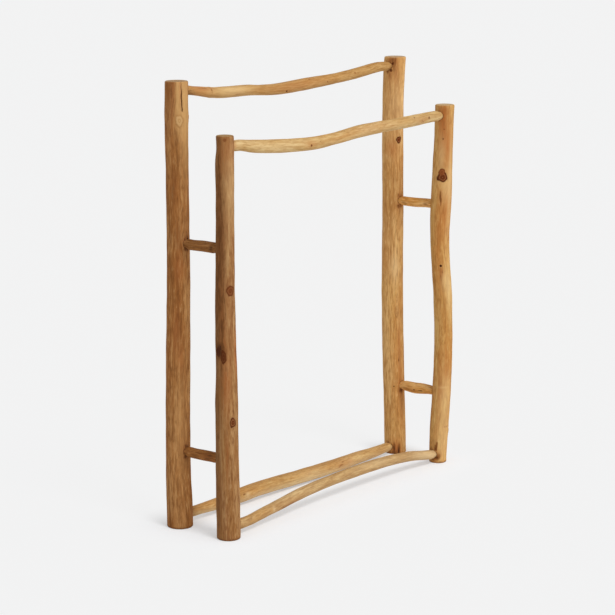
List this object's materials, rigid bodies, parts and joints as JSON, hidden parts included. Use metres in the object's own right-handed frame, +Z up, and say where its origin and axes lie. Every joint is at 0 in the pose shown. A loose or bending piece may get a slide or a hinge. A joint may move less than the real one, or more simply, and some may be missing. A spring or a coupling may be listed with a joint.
{
  "type": "double towel stand",
  "caption": "Free-standing towel stand of peeled branches: posts carry a lower front and a taller rear frame with top and bottom rails, tied by short rungs.",
  "frame": {"origin": "on the floor, midway between the axes of the four posts, which is the centre of the footprint", "axes": "+X along the rails to the right seen from the front, +Y to the rear where the taller frame is, +Z up"},
  "size_m": [0.7698, 0.1834, 0.9],
  "materials": {
    "post_teak": "peeled branch, dry and matt",
    "rail_teak": "peeled branch, rubbed smooth, satin",
    "rung_teak": "peeled branch, dry and matt",
    "nail_steel": "plain wire nail"
  },
  "bodies": {
    "root": {"rear_left_post": "post_teak", "rear_right_post": "post_teak", "front_left_post": "post_teak", "front_right_post": "post_teak", "rear_top_rail": "rail_teak", "front_top_rail": "rail_teak", "rear_bottom_rail": "rail_teak", "front_bottom_rail": "rail_teak", "left_upper_rung": "rung_teak", "left_lower_rung": "rung_teak", "right_upper_rung": "rung_teak", "right_lower_rung": "rung_teak", "rear_top_rail_nails": "nail_steel", "front_top_rail_nails": "nail_steel", "rear_bottom_rail_nails": "nail_steel", "front_bottom_rail_nails": "nail_steel", "left_upper_rung_nails": "nail_steel", "left_lower_rung_nails": "nail_steel", "right_upper_rung_nails": "nail_steel", "right_lower_rung_nails": "nail_steel"}
  },
  "joints": []
}
